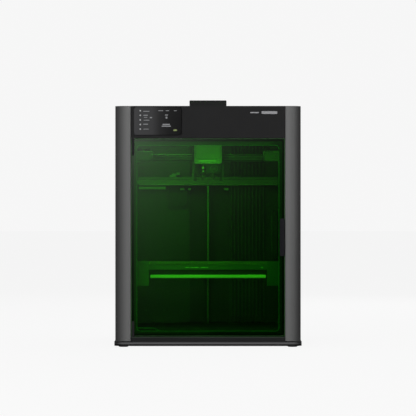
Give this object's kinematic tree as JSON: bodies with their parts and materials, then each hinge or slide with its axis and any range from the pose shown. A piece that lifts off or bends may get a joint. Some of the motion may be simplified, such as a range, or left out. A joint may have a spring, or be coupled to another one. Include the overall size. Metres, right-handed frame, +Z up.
{
  "type": "enclosed filament printer",
  "caption": "Enclosed core-XY filament printer with a tinted glass door, lift-off glass lid, heated bed on lead screws and a sliding tool head.",
  "frame": {"origin": "middle of the footprint, on the surface the feet stand on", "axes": "+Z up, front face towards -Y, +X to the right as seen from the front"},
  "size_m": [0.481, 0.514, 0.6495],
  "materials": {
    "dark_plastic": "fine satin moulded plastic",
    "panel_grey": "fine textured plastic",
    "anodised": "satin dark grey anodised",
    "gloss_black": "black cover glass",
    "green_glass": "green laser-safe tint, clear",
    "steel": "satin",
    "aluminium": "satin",
    "bed_bar": "light satin paint",
    "cover_grey": "light grey satin",
    "build_sheet": "textured coating on spring steel",
    "brass": "machined",
    "rubber": "matte",
    "motor_black": "satin black",
    "board_green": "solder mask",
    "lamp_cover": "opal diffuser"
  },
  "bodies": {
    "root": {"base_flange": "dark_plastic", "foot_front_left": "rubber", "foot_front_right": "rubber", "foot_rear_left": "rubber", "foot_rear_right": "rubber", "front_sill": "dark_plastic", "chamber_floor": "steel", "left_front_column": "anodised", "right_front_column": "anodised", "header_panel": "dark_plastic", "touchscreen": "gloss_black", "door_frame": "dark_plastic", "left_side_panel": "panel_grey", "right_side_panel": "panel_grey", "left_side_window": "green_glass", "right_side_window": "green_glass", "rear_panel": "panel_grey", "rear_top_deck": "dark_plastic", "cable_dome": "dark_plastic", "chamber_rear_wall": "dark_plastic", "rear_ledge": "dark_plastic", "chamber_light_bar": "lamp_cover", "left_y_beam": "steel", "right_y_beam": "steel", "left_xy_motor": "motor_black", "right_xy_motor": "motor_black", "z_motor": "motor_black", "z_belt": "rubber", "power_supply": "aluminium", "main_board": "board_green", "power_inlet": "dark_plastic", "exhaust_fan_housing": "motor_black"},
    "left_xy_drive": {"left_xy_pulley": "aluminium"},
    "right_xy_drive": {"right_xy_pulley": "aluminium"},
    "z_drive": {"z_motor_pulley": "aluminium"},
    "left_screw": {"left_lead_screw": "steel"},
    "right_screw": {"right_lead_screw": "steel"},
    "rear_screw": {"rear_lead_screw": "steel"},
    "exhaust_fan": {"exhaust_fan_rotor": "motor_black"},
    "rocker": {"power_rocker": "motor_black"},
    "door": {"door_glass": "green_glass", "door_handle": "dark_plastic", "upper_hinge": "aluminium", "lower_hinge": "aluminium"},
    "lid": {"top_glass": "green_glass"},
    "gantry": {"cross_beam": "steel", "left_y_carriage": "dark_plastic", "right_y_carriage": "dark_plastic"},
    "tool_head": {"tool_head_frame": "dark_plastic", "tool_head_cover": "cover_grey", "left_hotend": "brass"},
    "lifting_nozzle": {"right_hotend": "brass"},
    "tool_fan": {"tool_fan_rotor": "dark_plastic"},
    "bed": {"build_plate": "build_sheet", "heatbed": "dark_plastic", "bed_carrier": "steel", "bed_front_bar": "bed_bar", "bed_left_bracket": "dark_plastic", "bed_right_bracket": "dark_plastic"}
  },
  "joints": [
    {"name": "door_hinge", "type": "hinge", "parent": "root", "child": "door", "pos_m": [-0.1923, -0.2525, 0.28], "axis": [0, 0, -1], "range_deg": [0, 115]},
    {"name": "lid_lift", "type": "slide", "parent": "root", "child": "lid", "axis": [0, 0, 1], "range_m": [0, 0.15]},
    {"name": "bed_lift", "type": "slide", "parent": "root", "child": "bed", "axis": [0, 0, 1], "range_m": [-0.11, 0.213]},
    {"name": "left_screw_turn", "type": "hinge", "parent": "root", "child": "left_screw", "pos_m": [-0.189, -0.12, 0.2], "axis": [0, 0, 1], "continuous": true},
    {"name": "right_screw_turn", "type": "hinge", "parent": "root", "child": "right_screw", "pos_m": [0.189, -0.12, 0.2], "axis": [0, 0, 1], "continuous": true},
    {"name": "rear_screw_turn", "type": "hinge", "parent": "root", "child": "rear_screw", "pos_m": [0, 0.182, 0.2], "axis": [0, 0, 1], "continuous": true},
    {"name": "z_drive_turn", "type": "hinge", "parent": "root", "child": "z_drive", "pos_m": [-0.06, 0.228, 0.03], "axis": [0, 0, 1], "continuous": true},
    {"name": "gantry_travel", "type": "slide", "parent": "root", "child": "gantry", "axis": [0, 1, 0], "range_m": [-0.08, 0.215]},
    {"name": "head_travel", "type": "slide", "parent": "gantry", "child": "tool_head", "axis": [1, 0, 0], "range_m": [-0.15, 0.15]},
    {"name": "nozzle_lift", "type": "slide", "parent": "tool_head", "child": "lifting_nozzle", "axis": [0, 0, 1], "range_m": [-0.0025, 0]},
    {"name": "tool_fan_spin", "type": "hinge", "parent": "tool_head", "child": "tool_fan", "pos_m": [0, -0.113, 0.4975], "axis": [0, 1, 0], "continuous": true},
    {"name": "left_xy_spin", "type": "hinge", "parent": "root", "child": "left_xy_drive", "pos_m": [-0.207, 0.228, 0.49], "axis": [0, 0, 1], "continuous": true},
    {"name": "right_xy_spin", "type": "hinge", "parent": "root", "child": "right_xy_drive", "pos_m": [0.207, 0.228, 0.49], "axis": [0, 0, 1], "continuous": true},
    {"name": "exhaust_fan_spin", "type": "hinge", "parent": "root", "child": "exhaust_fan", "pos_m": [-0.13, 0.2423, 0.4], "axis": [0, 1, 0], "continuous": true},
    {"name": "rocker_tilt", "type": "hinge", "parent": "root", "child": "rocker", "pos_m": [0.175, 0.2505, 0.0655], "axis": [1, 0, 0], "range_deg": [-6, 6]}
  ],
  "couplings": [
    {"joint": "left_screw_turn", "follows": "bed_lift", "rad_per_m": 785.4},
    {"joint": "right_screw_turn", "follows": "bed_lift", "rad_per_m": 785.4},
    {"joint": "rear_screw_turn", "follows": "bed_lift", "rad_per_m": 785.4},
    {"joint": "z_drive_turn", "follows": "bed_lift", "rad_per_m": 785.4}
  ]
}
